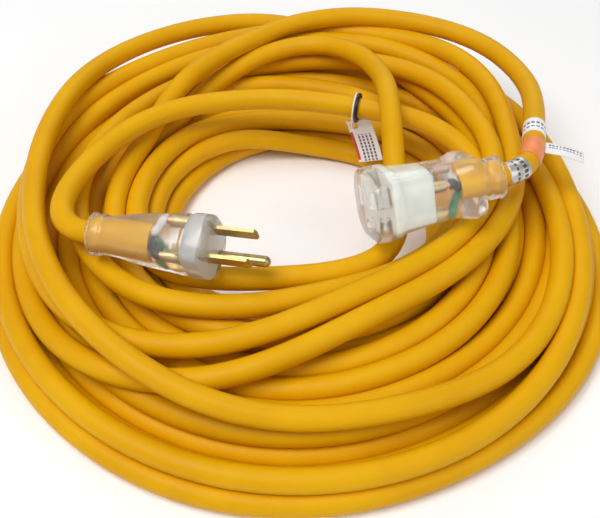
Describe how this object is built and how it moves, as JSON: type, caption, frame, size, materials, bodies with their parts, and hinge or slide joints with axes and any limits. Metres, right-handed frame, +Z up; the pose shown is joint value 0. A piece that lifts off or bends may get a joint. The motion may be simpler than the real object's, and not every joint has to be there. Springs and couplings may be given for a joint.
{
  "type": "extension cord",
  "caption": "Heavy-duty grounded extension cord in a loose round coil, with clear moulded plug and lighted connector at its ends.",
  "frame": {"origin": "on the floor, under the middle of the coil", "axes": "+Z up; the coil is a little longer along Y than along X; the plug and the connector lie over the eye, plug towards -X"},
  "size_m": [0.288, 0.31, 0.0711],
  "materials": {
    "jacket": "matt satin yellow vinyl",
    "clear_vinyl": "clear, slightly hazy vinyl moulding",
    "pale_nylon": "pale grey-green moulding",
    "brass": "plain brass strip",
    "copper": "bare copper strands",
    "black_core": "satin black insulation",
    "white_core": "satin white insulation",
    "green_core": "satin green insulation",
    "lamp_glass": "small glass lamp",
    "resistor_body": "tan lacquer",
    "tinned_wire": "tinned wire",
    "silver_film": "silver label film",
    "orange_film": "orange label film",
    "white_film": "white label film",
    "black_wire": "black vinyl-covered tie",
    "card": "white coated card"
  },
  "bodies": {
    "cord": {"cable_coil": "jacket", "plug_lead": "jacket", "connector_lead": "jacket", "plug_jacket_end": "jacket", "connector_jacket_end": "jacket", "plug_body": "clear_vinyl", "connector_body": "clear_vinyl", "plug_bridge": "pale_nylon", "contact_carrier": "pale_nylon", "line_blade": "brass", "neutral_blade": "brass", "ground_pin": "brass", "line_contact": "brass", "neutral_contact": "brass", "ground_contact": "brass", "plug_copper_ends": "copper", "connector_copper_ends": "copper", "plug_line_core": "black_core", "connector_line_core": "black_core", "plug_neutral_core": "white_core", "connector_neutral_core": "white_core", "plug_ground_core": "green_core", "connector_ground_core": "green_core", "indicator_lamp": "lamp_glass", "lamp_resistor": "resistor_body", "lamp_leads": "tinned_wire", "silver_label": "silver_film", "orange_label": "orange_film", "white_label": "white_film", "flag_label": "white_film"},
    "tag": {"tie_loop": "black_wire", "hang_tag": "card"}
  },
  "joints": [
    {"name": "tag_swing", "type": "hinge", "parent": "cord", "child": "tag", "pos_m": [0.029, 0.045, 0.0432], "axis": [-0.9673, 0.2535, 0], "range_deg": [-2, 50]}
  ]
}
